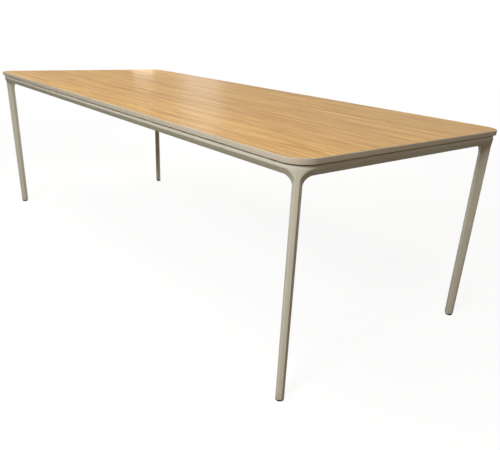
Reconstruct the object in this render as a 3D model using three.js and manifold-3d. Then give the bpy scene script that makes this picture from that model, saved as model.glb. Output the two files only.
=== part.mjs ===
// Conference table: a thin oak-faced top on a slim metal frame with four cast corner legs.
// Millimetres, +Z up. The origin is on the floor under the middle of the top.
// +X runs along the table, +Y across it, and the front is the long side at -Y.
import * as THREE from "three";
import { mergeVertices } from "three/addons/utils/BufferGeometryUtils.js";
import Module from "manifold-3d";

const wasm = await Module();
wasm.setup();

// Overall sizes
const tableLength = 2400;
const tableWidth = 1000;
const tableHeight = 745;
const cornerRadius = 70;

// Table top: a board with a sheet on each face and a band round its edge
const topThickness = 16;
const sheetThickness = 0.8;
const bandThickness = 2;
const bandArris = 2;
const glueLine = 0.1;

// Rail section. Insets run inwards from the edge of the top.
const shadowGap = 4.5;
const railFaceInset = 6.5;
const railTopInset = 9;
const railLandInset = 18;
const railFootInset = 24;
const railBackInset = 40;
const railFaceHeight = 10.5;
const railHeight = 31.5;
const railWall = 3;
const lipWidth = 18;
const lipThickness = 3;

// Cast leg. Depth is measured along the corner's diagonal, width across it.
const legNoseWidth = 14;
const legNoseTaper = 2;
const legTopDepth = 35;
const legFootDepth = 29.5;
const legTopWidth = 28.2;
const legFootWidth = 27.8;
const legBackRounding = 3;
const shoulderDepth = 9;
const shoulderFootWidth = 26;
const creaseFillet = 30;
const bottomFillet = 26;
const stubLength = 100;
const spigotLength = 60;

// Levelling foot
const padRadius = 13.4;
const padHeight = 5.7;
const padBevel = 0.6;
const padFloor = 1.5;
const studRadius = 4;
const studLength = 42;
const studChamfer = 0.8;
const insertRadius = 6.5;
const insertLength = 16;

// Cross beams between the long rails, and the angle brackets that carry them
const beamSpacing = 800;
const beamWidth = 40;
const beamHeight = 20;
const beamWall = 2;
const bracketWidth = 40;
const bracketThickness = 3;
const shelfLength = 70;

// Fasteners
const wallScrew = { headRadius: 4.5, headHeight: 2.8, shankRadius: 2.5, length: 12 };
const topScrew = { headRadius: 4, headHeight: 2.2, shankRadius: 2, length: 13 };
const beamScrew = { headRadius: 4, headHeight: 2.2, shankRadius: 2, length: 8 };
const headChamfer = 0.7;
const longRailScrews = 4;
const endRailScrews = 2;
const screwEndMargin = 160;

// Clearances and facet counts
const fitGap = 0.3;
const beamEndGap = 1;
const cutMargin = 1;
const arcSteps = 8;
const filletSteps = 7;
const arrisSteps = 3;
const footFacets = 20;
const screwFacets = 10;
const mergeDistance = 1e-4;

// Levels worked out from the sizes above
const undersideZ = tableHeight - topThickness;
const coreBottomZ = undersideZ + sheetThickness;
const coreTopZ = tableHeight - sheetThickness;
const railTopZ = undersideZ - shadowGap;
const creaseZ = railTopZ - railFaceHeight;
const railBottomZ = railTopZ - railHeight;
const railMiddleZ = (railBottomZ + undersideZ) / 2;
const lipBottomZ = undersideZ - lipThickness;
const lipEdgeInset = railBackInset + lipWidth;
const lipMiddleInset = railBackInset + lipWidth / 2;
const beamBottomZ = undersideZ - beamHeight;
const shelfBottomZ = beamBottomZ - bracketThickness;
const bracketTopZ = lipBottomZ - fitGap;
const bracketBoltZ = (beamBottomZ + bracketTopZ) / 2;
const shelfEdgeInset = railBackInset + shelfLength;
const shelfScrewInset = (lipEdgeInset + shelfEdgeInset) / 2;
const legFootZ = padHeight + fitGap;
const insertTopZ = legFootZ + insertLength;
const studBottomZ = padFloor + fitGap;
const studTopZ = studBottomZ + studLength;
const rightAngle = Math.PI / 2;

const finish = (color, roughness, metalness) =>
  new THREE.MeshStandardMaterial({ color, roughness, metalness });
const materials = {
  oak: finish(0xd5ae78, 0.42, 0),
  board: finish(0xb9976a, 0.9, 0),
  backing: finish(0xcfc6b4, 0.6, 0),
  band: finish(0xbdb29f, 0.5, 0),
  sandCoat: finish(0xb8ae9b, 0.45, 0.1),
  steel: finish(0xa9abad, 0.35, 0.9),
  blackNylon: finish(0x2b2b29, 0.6, 0),
  brass: finish(0xb8974a, 0.4, 0.9),
};

const point = (x, y) => new THREE.Vector2(x, y);
const spot = (x, y, z) => new THREE.Vector3(x, y, z);
const mix = THREE.MathUtils.lerp;

// Solids for joining and cutting

function toSolid(geometry) {
  const bare = geometry.clone();
  bare.deleteAttribute("normal");
  bare.deleteAttribute("uv");
  const merged = mergeVertices(bare, mergeDistance);
  const corners = merged.index.array;
  const kept = [];
  for (let i = 0; i < corners.length; i += 3) {
    const [p, q, r] = corners.subarray(i, i + 3);
    if (p !== q && q !== r && r !== p) kept.push(p, q, r);
  }
  const vertProperties = Float32Array.from(merged.attributes.position.array);
  const triVerts = Uint32Array.from(kept);
  return new wasm.Manifold(new wasm.Mesh({ numProp: 3, vertProperties, triVerts }));
}

function toGeometry(solid) {
  const mesh = solid.getMesh();
  const geometry = new THREE.BufferGeometry();
  geometry.setAttribute("position", new THREE.BufferAttribute(mesh.vertProperties, 3));
  geometry.setIndex(new THREE.BufferAttribute(mesh.triVerts, 1));
  geometry.computeVertexNormals();
  return geometry;
}

function cut(geometry, tools) {
  const remove = (solid, tool) => solid.subtract(toSolid(tool));
  return toGeometry(tools.reduce(remove, toSolid(geometry)));
}

function join(geometry, extras) {
  const add = (solid, extra) => solid.add(toSolid(extra));
  return toGeometry(extras.reduce(add, toSolid(geometry)));
}

// Shared shapes

// A round piece about the Z axis, from a profile of (radius, height) points
function turned(profile, facets) {
  return new THREE.LatheGeometry(profile, facets).rotateX(rightAngle);
}

function rod(radius, bottom, top, facets) {
  return turned([point(0, bottom), point(radius, bottom), point(radius, top), point(0, top)], facets);
}

// A bar along X, from an outline of (inset, height) points
const barAxes = new THREE.Matrix4().makeBasis(spot(0, 1, 0), spot(0, 0, 1), spot(1, 0, 0));
function bar(outline, start, end, hollow = null) {
  const shape = new THREE.Shape(outline);
  if (hollow) shape.holes.push(new THREE.Path(hollow));
  const geometry = new THREE.ExtrudeGeometry(shape, { depth: end - start, bevelEnabled: false });
  return geometry.translate(0, 0, start).applyMatrix4(barAxes);
}

function rectangle(left, right, bottom, top) {
  return [point(left, bottom), point(right, bottom), point(right, top), point(left, top)];
}

// The same outline moved inwards by one wall, for outlines that run anticlockwise
function insetOutline(outline, wall) {
  const count = outline.length;
  return outline.map((here, i) => {
    const u = here.clone().sub(outline[(i + count - 1) % count]).normalize();
    const v = outline[(i + 1) % count].clone().sub(here).normalize();
    const spread = wall / (1 + u.dot(v));
    return point(here.x - (u.y + v.y) * spread, here.y + (u.x + v.x) * spread);
  });
}

// The plan of the top, moved inwards, as points round its four arcs
function topPlan(inset) {
  const radius = cornerRadius - inset;
  const centreX = tableLength / 2 - cornerRadius;
  const centreY = tableWidth / 2 - cornerRadius;
  const plan = [];
  for (const [quarter, sideX, sideY] of [[0, 1, 1], [1, -1, 1], [2, -1, -1], [3, 1, -1]]) {
    for (let step = 0; step <= arcSteps; step += 1) {
      const angle = (quarter + step / arcSteps) * rightAngle;
      const x = sideX * centreX + radius * Math.cos(angle);
      const y = sideY * centreY + radius * Math.sin(angle);
      plan.push(point(x, y));
    }
  }
  return plan;
}

// A button-head screw about Z: the head stands on z = 0 and the shank points down
function screw({ headRadius, headHeight, shankRadius, length }) {
  const profile = [
    point(0, -length),
    point(shankRadius, -length),
    point(shankRadius, 0),
    point(headRadius, 0),
    point(headRadius, headHeight - headChamfer),
    point(headRadius - headChamfer, headHeight),
    point(0, headHeight),
  ];
  return turned(profile, screwFacets);
}

// The clear hole for a screw's shank, to both sides of z = 0
function screwHole({ shankRadius, length }) {
  return rod(shankRadius + fitGap, -length - fitGap, cutMargin, screwFacets);
}

const facingIn = (geometry) => geometry.rotateX(-rightAngle);
const facingDown = (geometry) => geometry.rotateX(Math.PI);

// Table top

function panel(bottom, top) {
  const shape = new THREE.Shape(topPlan(bandThickness + glueLine));
  const geometry = new THREE.ExtrudeGeometry(shape, { depth: top - bottom, bevelEnabled: false });
  return geometry.translate(0, 0, bottom);
}

function edgeBand() {
  const rings = [[bandThickness, undersideZ], [0, undersideZ]];
  const arris = Math.min(bandArris, bandThickness);
  for (let step = 0; step <= arrisSteps; step += 1) {
    const angle = (step / arrisSteps) * rightAngle;
    const inset = arris * (1 - Math.cos(angle));
    rings.push([inset, tableHeight - arris * (1 - Math.sin(angle))]);
  }
  if (arris < bandThickness) rings.push([bandThickness, tableHeight]);
  const loops = rings.map(([inset, z]) => topPlan(inset).map(({ x, y }) => spot(x, y, z)));
  loops.push(loops[0]);
  const corners = [];
  for (let ring = 0; ring + 1 < loops.length; ring += 1) {
    const lower = [...loops[ring], loops[ring][0]];
    const upper = [...loops[ring + 1], loops[ring + 1][0]];
    corners.push(...strip(lower, upper));
  }
  return new THREE.BufferGeometry().setFromPoints(corners);
}

// Triangles between two rows of points, without the empty ones where the rows meet
function strip(first, second) {
  const corners = [];
  const add = (p, q, r) => {
    const open = p.distanceTo(q) * q.distanceTo(r) * r.distanceTo(p) > 0;
    if (open) corners.push(p, q, r);
  };
  for (let i = 0; i + 1 < first.length; i += 1) {
    add(first[i], first[i + 1], second[i + 1]);
    add(first[i], second[i + 1], second[i]);
  }
  return corners;
}

// Rails

function railSection() {
  return [
    point(railFaceInset, creaseZ),
    point(railFootInset, railBottomZ),
    point(railBackInset, railBottomZ),
    point(railBackInset, undersideZ),
    point(railLandInset, undersideZ),
    point(railLandInset, railTopZ),
    point(railTopInset, railTopZ),
  ];
}

function railOutline() {
  const outline = railSection();
  const lip = [
    point(railBackInset, lipBottomZ),
    point(lipEdgeInset, lipBottomZ),
    point(lipEdgeInset, undersideZ),
  ];
  outline.splice(3, 1, ...lip);
  return outline;
}

const railLength = (sideLength) => sideLength - 2 * (stubLength + fitGap);

// Even places along a rail for the screws that hold the top
function topScrewPlaces(sideLength, count) {
  const reach = railLength(sideLength) / 2 - screwEndMargin;
  return Array.from({ length: count }, (_, i) => mix(-reach, reach, i / (count - 1)));
}

const legScrewPlaces = (sideLength) => {
  const reach = sideLength / 2 - stubLength - spigotLength / 2;
  return [-reach, reach];
};

function railHoles(side) {
  const holes = topScrewPlaces(side.length, side.topScrews).map((along) =>
    facingDown(screwHole(topScrew)).translate(along, lipMiddleInset, lipBottomZ)
  );
  for (const along of legScrewPlaces(side.length)) {
    holes.push(facingIn(screwHole(wallScrew)).translate(along, railBackInset, railMiddleZ));
  }
  for (const along of side.beamPlaces) {
    holes.push(facingIn(screwHole(wallScrew)).translate(along, railBackInset, bracketBoltZ));
  }
  return holes;
}

function rail(side) {
  const half = railLength(side.length) / 2;
  const hollow = insetOutline(railSection(), railWall);
  return cut(bar(railOutline(), -half, half, hollow), railHoles(side));
}

// Cast corner leg. In its own frame the corner of the top is at x = y = 0.
// "a" runs inwards along one edge from that corner and "b" along the other, and the leg is the same
// on both sides of the diagonal a = b, so one half is made and then mirrored.

const noseTopDepth = cornerRadius * Math.SQRT2 - (cornerRadius - railFaceInset);
const legTaperShare = (z) => (creaseZ - z) / (creaseZ - legFootZ);
const noseDepth = (z) => noseTopDepth + legNoseTaper * legTaperShare(z);
const backDepth = (z) =>
  mix(noseTopDepth + legTopDepth, noseTopDepth + legNoseTaper + legFootDepth, legTaperShare(z));
const backHalfWidth = (z) => mix(legTopWidth, legFootWidth, legTaperShare(z)) / 2;

// A point at a depth along the diagonal and an offset across it
function offDiagonal(depth, across, z) {
  return spot((depth + across) / Math.SQRT2, (depth - across) / Math.SQRT2, z);
}

// How far the flat front of the leg falls back from its nose at its two edges
const noseCrown = () => {
  const radius = cornerRadius - railFaceInset;
  return radius - Math.sqrt(radius ** 2 - (legNoseWidth / 2) ** 2);
};
const creaseAt = (z) => offDiagonal(noseDepth(z) + noseCrown(), legNoseWidth / 2, z);
const shoulderAtFoot = () =>
  offDiagonal(noseDepth(legFootZ) + shoulderDepth, shoulderFootWidth / 2, legFootZ);
const sideEndAt = (z) => offDiagonal(backDepth(z) - legBackRounding, backHalfWidth(z), z);
const backEdgeAt = (z) => offDiagonal(backDepth(z), backHalfWidth(z) - legBackRounding, z);
const backMiddleAt = (z) => offDiagonal(backDepth(z), 0, z);

// The rounded rim of the frame: a point at one inset, by its distance along the edge
function rimPoint(inset, a, z) {
  if (a >= cornerRadius) return spot(a, inset, z);
  const radius = cornerRadius - inset;
  return spot(a, cornerRadius - Math.sqrt(radius ** 2 - (cornerRadius - a) ** 2), z);
}

// A rim path from the end of the stub to the diagonal, level at one height
function rimPath(inset, z) {
  const start = creaseAt(creaseZ - creaseFillet).x + creaseFillet;
  const end = cornerRadius - (cornerRadius - inset) / Math.SQRT2;
  const path = [rimPoint(inset, stubLength, z)];
  for (let step = 0; step < filletSteps; step += 1) {
    path.push(rimPoint(inset, mix(start, end, step / filletSteps), z));
  }
  path.push(spot(end, end, z));
  return path;
}

// A path that runs level along the stub and then turns down into the leg on a round fillet
function filletPath(stubInset, levelZ, fillet, legAt) {
  const legTop = legAt(levelZ - fillet);
  const path = [spot(stubLength, stubInset, levelZ)];
  for (let step = 0; step <= filletSteps; step += 1) {
    const angle = (step / filletSteps) * rightAngle;
    const fall = 1 - Math.cos(angle);
    const a = legTop.x + fillet * (1 - Math.sin(angle));
    path.push(spot(a, mix(stubInset, legTop.y, fall), levelZ - fillet * fall));
  }
  return path;
}

function creasePath() {
  const path = filletPath(railFaceInset, creaseZ, creaseFillet, creaseAt);
  const last = path.length - 1;
  return path.map(({ x, z }, i) => (i < last ? rimPoint(railFaceInset, x, z) : creaseAt(z)));
}

// The nine long edges of the head, in order round its section
function headPaths() {
  const crease = creasePath();
  const sideEnd = filletPath(railFootInset, railBottomZ, bottomFillet, sideEndAt);
  const back = filletPath(railBackInset, railBottomZ, bottomFillet, backEdgeAt);
  const share = shoulderDepth / legTopDepth;
  return [
    rimPath(railTopInset, railTopZ),
    rimPath(railFaceInset, creaseZ),
    crease,
    crease.map((here, i) => here.clone().lerp(sideEnd[i], share)),
    sideEnd,
    back,
    back.map(({ x, y }) => spot(x, y, undersideZ)),
    rimPath(railLandInset, undersideZ),
    rimPath(railLandInset, railTopZ),
  ];
}

function stubEnd(head) {
  const ends = head.map((path) => path[0]).slice(2);
  ends.push(head[0][0]);
  const outline = ends.map(({ y, z }) => point(y, z));
  return THREE.ShapeUtils.triangulateShape(outline, []).flatMap((face) => face.map((i) => ends[i]));
}

function halfLeg() {
  const head = headPaths();
  const last = head[0].length - 1;
  const [, nose, crease, shoulder, sideEnd, backEdge, backTop, land] = head.map((path) => path[last]);
  const corners = stubEnd(head);
  head.forEach((path, i) => corners.push(...strip(path, head[(i + 1) % head.length])));
  const backMiddle = backMiddleAt(backEdge.z);
  const backMiddleTop = backMiddleAt(backEdge.z).setZ(undersideZ);
  const columns = [
    [nose, offDiagonal(noseDepth(legFootZ), 0, legFootZ)],
    [crease, creaseAt(legFootZ)],
    [shoulder, shoulderAtFoot()],
    [sideEnd, sideEndAt(legFootZ)],
    [backEdge, backEdgeAt(legFootZ)],
    [backMiddle, backMiddleAt(legFootZ)],
  ];
  for (let i = 0; i + 1 < columns.length; i += 1) corners.push(...strip(columns[i], columns[i + 1]));
  corners.push(...strip([backTop, backEdge], [backMiddleTop, backMiddle]));
  corners.push(backTop, backMiddleTop, land);
  const foot = columns.map((column) => column[1]);
  const footMiddleBack = foot[foot.length - 1];
  for (let i = 0; i + 2 < foot.length; i += 1) corners.push(footMiddleBack, foot[i + 1], foot[i]);
  return corners;
}

function legSkin() {
  const half = halfLeg();
  const corners = [];
  for (let i = 0; i < half.length; i += 3) {
    const [p, q, r] = half.slice(i, i + 3);
    for (const { x, y, z } of [p, r, q]) corners.push(spot(-x, y, z));
    for (const { x, y, z } of [p, q, r]) corners.push(spot(-y, x, z));
  }
  return new THREE.BufferGeometry().setFromPoints(corners);
}

// Where the levelling stud stands, in the leg's own frame
const footMiddle = (noseDepth(legFootZ) + backDepth(legFootZ)) / 2 / Math.SQRT2;

function leg() {
  const spigot = insetOutline(railSection(), railWall + fitGap);
  const inner = stubLength - railWall;
  const outer = stubLength + spigotLength;
  const spigots = [
    bar(spigot, -outer, -inner),
    bar(spigot, inner, outer).rotateZ(rightAngle),
  ];
  const hole = facingIn(screwHole(wallScrew)).translate(0, railBackInset, railMiddleZ);
  const screwPlace = stubLength + spigotLength / 2;
  const bores = [
    rod(insertRadius + fitGap, legFootZ - cutMargin, insertTopZ + fitGap, footFacets),
    rod(studRadius + fitGap, legFootZ - cutMargin, studTopZ + cutMargin, footFacets),
  ];
  const cuts = [
    hole.clone().translate(-screwPlace, 0, 0),
    hole.clone().translate(screwPlace, 0, 0).rotateZ(rightAngle),
    ...bores.map((bore) => bore.translate(-footMiddle, footMiddle, 0)),
  ];
  return cut(join(legSkin(), spigots), cuts);
}

// Levelling foot, about its own upright axis

function footPad() {
  const socket = studRadius + fitGap;
  const profile = [
    point(0, 0),
    point(padRadius - padBevel, 0),
    point(padRadius, padBevel),
    point(padRadius, padHeight),
    point(socket, padHeight),
    point(socket, padFloor),
    point(0, padFloor),
  ];
  return turned(profile, footFacets);
}

function levellingStud() {
  const profile = [
    point(0, studBottomZ),
    point(studRadius, studBottomZ),
    point(studRadius, studTopZ - studChamfer),
    point(studRadius - studChamfer, studTopZ),
    point(0, studTopZ),
  ];
  return turned(profile, footFacets);
}

function threadedInsert() {
  const bore = studRadius + fitGap;
  const profile = rectangle(bore, insertRadius, legFootZ, insertTopZ);
  return turned([...profile, profile[0]], footFacets);
}

// Cross beams and their brackets

function crossBeam() {
  const half = tableWidth / 2 - lipEdgeInset - beamEndGap;
  const outline = rectangle(-beamWidth / 2, beamWidth / 2, beamBottomZ, undersideZ);
  const tube = bar(outline, -half, half, insetOutline(outline, beamWall)).rotateZ(rightAngle);
  const screwReach = tableWidth / 2 - shelfScrewInset;
  const holes = [-screwReach, screwReach].map((y) =>
    facingDown(screwHole(beamScrew)).translate(0, y, shelfBottomZ)
  );
  return cut(tube, holes);
}

function beamBracket() {
  const outline = [
    point(railBackInset, shelfBottomZ),
    point(shelfEdgeInset, shelfBottomZ),
    point(shelfEdgeInset, beamBottomZ),
    point(railBackInset + bracketThickness, beamBottomZ),
    point(railBackInset + bracketThickness, bracketTopZ),
    point(railBackInset, bracketTopZ),
  ];
  const angle = bar(outline, -bracketWidth / 2, bracketWidth / 2);
  const bolt = facingIn(screwHole(wallScrew));
  const upright = facingDown(screwHole(beamScrew));
  return cut(angle, [
    bolt.translate(0, railBackInset + bracketThickness, bracketBoltZ),
    upright.translate(0, shelfScrewInset, shelfBottomZ),
  ]);
}

// Assembly

const table = new THREE.Group();

function place(parent, name, geometry, material, x = 0, y = 0, z = 0) {
  const mesh = new THREE.Mesh(geometry, material);
  mesh.name = name;
  mesh.position.set(x, y, z);
  parent.add(mesh);
}

function turnedGroup(quarters, x, y) {
  const group = new THREE.Group();
  group.rotation.z = quarters * rightAngle;
  group.position.set(x, y, 0);
  table.add(group);
  return group;
}

// Each side's own frame has x along the rail and y inwards from the edge of the top
const beamPlaces = [-beamSpacing / 2, beamSpacing / 2];
const longSide = { length: tableLength, topScrews: longRailScrews, beamPlaces };
const endSide = { length: tableWidth, topScrews: endRailScrews, beamPlaces: [] };
const sides = [
  { name: "front", x: 0, y: -tableWidth / 2, ...longSide },
  { name: "right_end", x: tableLength / 2, y: 0, ...endSide },
  { name: "back", x: 0, y: tableWidth / 2, ...longSide },
  { name: "left_end", x: -tableLength / 2, y: 0, ...endSide },
];

// Pilot holes in the board and the backing sheet, in the table's frame
function pilotHoles() {
  return sides.flatMap((side, quarter) =>
    topScrewPlaces(side.length, side.topScrews).map((along) =>
      facingDown(screwHole(topScrew))
        .translate(along, lipMiddleInset, lipBottomZ)
        .rotateZ(quarter * rightAngle)
        .translate(side.x, side.y, 0)
    )
  );
}

function addTop() {
  const holes = pilotHoles();
  place(table, "oak_top_sheet", panel(coreTopZ, tableHeight), materials.oak);
  place(table, "tabletop_core", cut(panel(coreBottomZ, coreTopZ), holes), materials.board);
  place(table, "backing_sheet", cut(panel(undersideZ, coreBottomZ), holes), materials.backing);
  place(table, "edge_band", edgeBand(), materials.band);
}

function addSide(side, quarter) {
  const group = turnedGroup(quarter, side.x, side.y);
  place(group, `${side.name}_rail`, rail(side), materials.sandCoat);
  const sunk = facingIn(screw(wallScrew));
  legScrewPlaces(side.length).forEach((along, i) => {
    const name = `${side.name}_leg_screw_${i + 1}`;
    place(group, name, sunk, materials.steel, along, railBackInset, railMiddleZ);
  });
  const upward = facingDown(screw(topScrew));
  topScrewPlaces(side.length, side.topScrews).forEach((along, i) => {
    const name = `${side.name}_top_screw_${i + 1}`;
    place(group, name, upward, materials.steel, along, lipMiddleInset, lipBottomZ);
  });
  side.beamPlaces.forEach((along, i) => addBracket(group, `${side.name}_${i + 1}`, along));
}

function addBracket(group, tag, along) {
  const boltSeat = railBackInset + bracketThickness;
  const bolt = facingIn(screw(wallScrew));
  const upward = facingDown(screw(beamScrew));
  place(group, `beam_bracket_${tag}`, beamBracket(), materials.steel, along);
  place(group, `bracket_bolt_${tag}`, bolt, materials.steel, along, boltSeat, bracketBoltZ);
  place(group, `beam_screw_${tag}`, upward, materials.steel, along, shelfScrewInset, shelfBottomZ);
}

function addCorner(name, quarter, x, y) {
  const group = turnedGroup(quarter, x, y);
  place(group, `leg_${name}`, leg(), materials.sandCoat);
  place(group, `foot_pad_${name}`, footPad(), materials.blackNylon, -footMiddle, footMiddle);
  place(group, `levelling_stud_${name}`, levellingStud(), materials.steel, -footMiddle, footMiddle);
  place(group, `threaded_insert_${name}`, threadedInsert(), materials.brass, -footMiddle, footMiddle);
}

addTop();
sides.forEach(addSide);
addCorner("front_right", 0, tableLength / 2, -tableWidth / 2);
addCorner("back_right", 1, tableLength / 2, tableWidth / 2);
addCorner("back_left", 2, -tableLength / 2, tableWidth / 2);
addCorner("front_left", 3, -tableLength / 2, -tableWidth / 2);
place(table, "cross_beam_left", crossBeam(), materials.steel, -beamSpacing / 2);
place(table, "cross_beam_right", crossBeam(), materials.steel, beamSpacing / 2);

export default table;
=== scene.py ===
# %% [markdown]
# # A conference table
# A long oak-faced top lies on a slim sand-coloured frame, and four slender legs grow out of the frame's
# corners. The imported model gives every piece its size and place. This lesson gives each piece the finer
# shape and the finish that show when somebody stands beside the table.

# %% Load the frame
import math

import bmesh
import bpy
import numpy as np
from mathutils import Matrix, Vector


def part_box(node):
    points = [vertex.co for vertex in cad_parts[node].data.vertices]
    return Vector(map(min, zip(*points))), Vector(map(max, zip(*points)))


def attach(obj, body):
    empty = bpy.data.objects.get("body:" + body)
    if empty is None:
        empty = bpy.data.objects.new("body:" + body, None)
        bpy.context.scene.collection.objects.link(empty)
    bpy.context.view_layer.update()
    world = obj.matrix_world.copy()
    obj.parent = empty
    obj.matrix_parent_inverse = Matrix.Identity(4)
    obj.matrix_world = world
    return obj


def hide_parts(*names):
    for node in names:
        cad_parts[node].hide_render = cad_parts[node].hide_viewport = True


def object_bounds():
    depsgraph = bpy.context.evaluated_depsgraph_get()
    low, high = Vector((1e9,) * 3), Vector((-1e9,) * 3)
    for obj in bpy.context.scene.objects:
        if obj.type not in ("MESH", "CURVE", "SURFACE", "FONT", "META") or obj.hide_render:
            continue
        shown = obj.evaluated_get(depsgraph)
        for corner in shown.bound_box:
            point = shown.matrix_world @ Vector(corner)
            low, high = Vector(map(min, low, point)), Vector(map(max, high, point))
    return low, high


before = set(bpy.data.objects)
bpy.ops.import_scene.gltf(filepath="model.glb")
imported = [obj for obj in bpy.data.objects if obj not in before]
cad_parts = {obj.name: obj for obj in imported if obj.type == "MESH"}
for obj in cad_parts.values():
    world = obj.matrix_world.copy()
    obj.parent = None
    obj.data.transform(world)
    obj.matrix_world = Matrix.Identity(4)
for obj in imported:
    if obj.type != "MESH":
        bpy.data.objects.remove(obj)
cad_low, cad_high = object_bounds()
MM = 0.001
LENGTH, WIDTH, HEIGHT = cad_high - cad_low
CORNERS = {"front_right": (1, -1), "back_right": (1, 1), "back_left": (-1, 1), "front_left": (-1, -1)}
print(f"table {LENGTH:.3f} x {WIDTH:.3f} x {HEIGHT:.3f} m, {len(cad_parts)} nodes")

# %% [markdown]
# ## The camera
# The photograph was taken standing at one corner, a little tilted to one side. A camera has a place, a
# point that it looks at, a roll about its own axis and a lens. The small shift moves the picture in the
# frame, as cropping a photograph does, and doesn't change the perspective.

# %% Camera
PHOTO_WIDTH = 500
camera_place = Vector((2.1026, -1.3975, 1.0347))
camera_aim = Vector((0.5668, -0.0936, 0.1508))
camera_roll = math.radians(2.908)
focal_pixels = 532.9
camera_data = bpy.data.cameras.new("photo_camera")
camera_data.sensor_width = 36
camera_data.lens = focal_pixels / PHOTO_WIDTH * camera_data.sensor_width
camera_data.shift_x = -0.0046
camera_data.shift_y = 0.0713
camera = bpy.data.objects.new("photo_camera", camera_data)
aim = (camera_aim - camera_place).to_track_quat("-Z", "Y").to_matrix().to_4x4()
camera.matrix_world = Matrix.Translation(camera_place) @ aim @ Matrix.Rotation(camera_roll, 4, "Z")
bpy.context.scene.collection.objects.link(camera)
bpy.context.scene.camera = camera
print(f"camera with a {camera_data.lens:.1f} mm lens")

# %% [markdown]
# ## Shader maths
# A finish is a small sum: a colour here, a little more of another one there. The class below wraps the
# output of a node, so that sums and products of values can be written as Python expressions. Every other
# node comes from its one method, `node`.


# %% A wire that can be added and multiplied
class Wire:
    """The output of a node, with the arithmetic that the finishes need."""

    def __init__(self, tree, socket):
        self.tree = tree
        self.socket = socket

    def node(self, kind, settings, inputs, output=0):
        made = self.tree.nodes.new(kind)
        for name, value in settings.items():
            setattr(made, name, value)
        for name, value in inputs.items():
            if isinstance(value, Wire):
                self.tree.links.new(value.socket, made.inputs[name])
            else:
                made.inputs[name].default_value = value
        return Wire(self.tree, made.outputs[output])

    def sum(self, operation, first, second):
        return self.node("ShaderNodeMath", {"operation": operation}, {0: first, 1: second})

    def __add__(self, other):
        return self.sum("ADD", self, other)

    def __radd__(self, other):
        return self.sum("ADD", other, self)

    def __sub__(self, other):
        return self.sum("SUBTRACT", self, other)

    def __rsub__(self, other):
        return self.sum("SUBTRACT", other, self)

    def __mul__(self, other):
        return self.sum("MULTIPLY", self, other)

    def __rmul__(self, other):
        return self.sum("MULTIPLY", other, self)

    def tint(self, first, second):
        """A colour between two others, by this value."""
        choice = {"data_type": "RGBA", "clamp_factor": True}
        return self.node("ShaderNodeMix", choice, {"Factor": self, 6: first, 7: second}, 2)

    def between(self, low, high):
        """This value stretched so that low becomes 0 and high becomes 1, smoothly."""
        stretch = {"interpolation_type": "SMOOTHSTEP"}
        return self.node("ShaderNodeMapRange", stretch, {"Value": self, "From Min": low, "From Max": high})

    def stretched(self, x, y, z):
        """Coordinates scaled along each axis."""
        return self.node("ShaderNodeMapping", {}, {"Vector": self, "Scale": (x, y, z)})

    def noise(self, scale, detail=2.0, roughness=0.5):
        fields = {"Vector": self, "Scale": scale, "Detail": detail, "Roughness": roughness}
        return self.node("ShaderNodeTexNoise", {}, fields)


def srgb(red, green, blue):
    """A colour as it is seen on a screen, from 0 to 255, as the linear colour that a shader takes."""

    def linear(value):
        share = value / 255
        return share / 12.92 if share <= 0.04045 else ((share + 0.055) / 1.055) ** 2.4

    return (linear(red), linear(green), linear(blue), 1.0)


def new_finish(name):
    """A material with its object coordinates as a wire, and its surface shader."""
    material = bpy.data.materials.new(name)
    material.use_nodes = True
    tree = material.node_tree
    surface = tree.nodes["Principled BSDF"]
    coordinates = tree.nodes.new("ShaderNodeTexCoord")
    return material, Wire(tree, coordinates.outputs["Object"]), surface


def feed(surface, **values):
    """Sets or links the surface shader's sockets by name, with _ for a space."""
    for name, value in values.items():
        socket = surface.inputs[name.replace("_", " ")]
        if isinstance(value, Wire):
            value.tree.links.new(value.socket, socket)
        else:
            socket.default_value = value


def bumped(height, distance, strength=1.0):
    """Surface normals from a height in metres."""
    fields = {"Height": height, "Distance": distance, "Strength": strength}
    return height.node("ShaderNodeBump", {}, fields)


print("shader maths ready")

# %% [markdown]
# ## Oak
# The face is a lacquered oak veneer whose grain runs along the table. Oak shows itself at several scales:
# broad leaves of slightly different tone, bands about a centimetre wide, streaks of a few millimetres that
# run for a hand's length, finer fibres and dark pores. Each is a noise texture that is stretched along X.
# A slow sideways wander keeps them from being ruler-straight.
#
# The value of a noise texture lies about 0.5. `between` picks out its high parts, or its low parts when it
# is given the higher number first, and the factor after it says how strongly they are tinted.

# %% Oak finish
OAK_LIGHT = srgb(243, 196, 112)
OAK_DULL = srgb(217, 167, 98)
OAK_DARK = srgb(186, 129, 62)
OAK_PALE = srgb(248, 209, 136)
FIBRE_BROWN = srgb(160, 110, 58)
PORE_BROWN = srgb(130, 88, 46)
LACQUER_ROUGHNESS = 0.32
GRAIN_RELIEF = 0.03 * MM
WANDER = 0.02
WANDER_REPEATS = (1.3, 5.0, 1.0)
# Repeats in a metre along and across the table, then the detail and roughness of the noise.
GRAINS = {
    "leaf": (0.6, 22.0, 3.0, 0.6),
    "band": (2.6, 95.0, 3.0, 0.6),
    "streak": (6.0, 240.0, 3.0, 0.65),
    "fibre": (12.0, 420.0, 3.0, 0.65),
    "pore": (30.0, 1500.0, 1.0, 0.5),
}


def oak_grains(place):
    """The noise of each grain, in the order of the table above."""
    wander = (place.stretched(*WANDER_REPEATS).noise(1.0, 2.0) - 0.5) * WANDER
    sideways = place.node("ShaderNodeCombineXYZ", {}, {"Y": wander})
    bent = place.node("ShaderNodeVectorMath", {"operation": "ADD"}, {0: place, 1: sideways})
    grains = []
    for along, across, detail, roughness in GRAINS.values():
        grains.append(bent.stretched(along, across, 1.0).noise(1.0, detail, roughness))
    return grains


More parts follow.
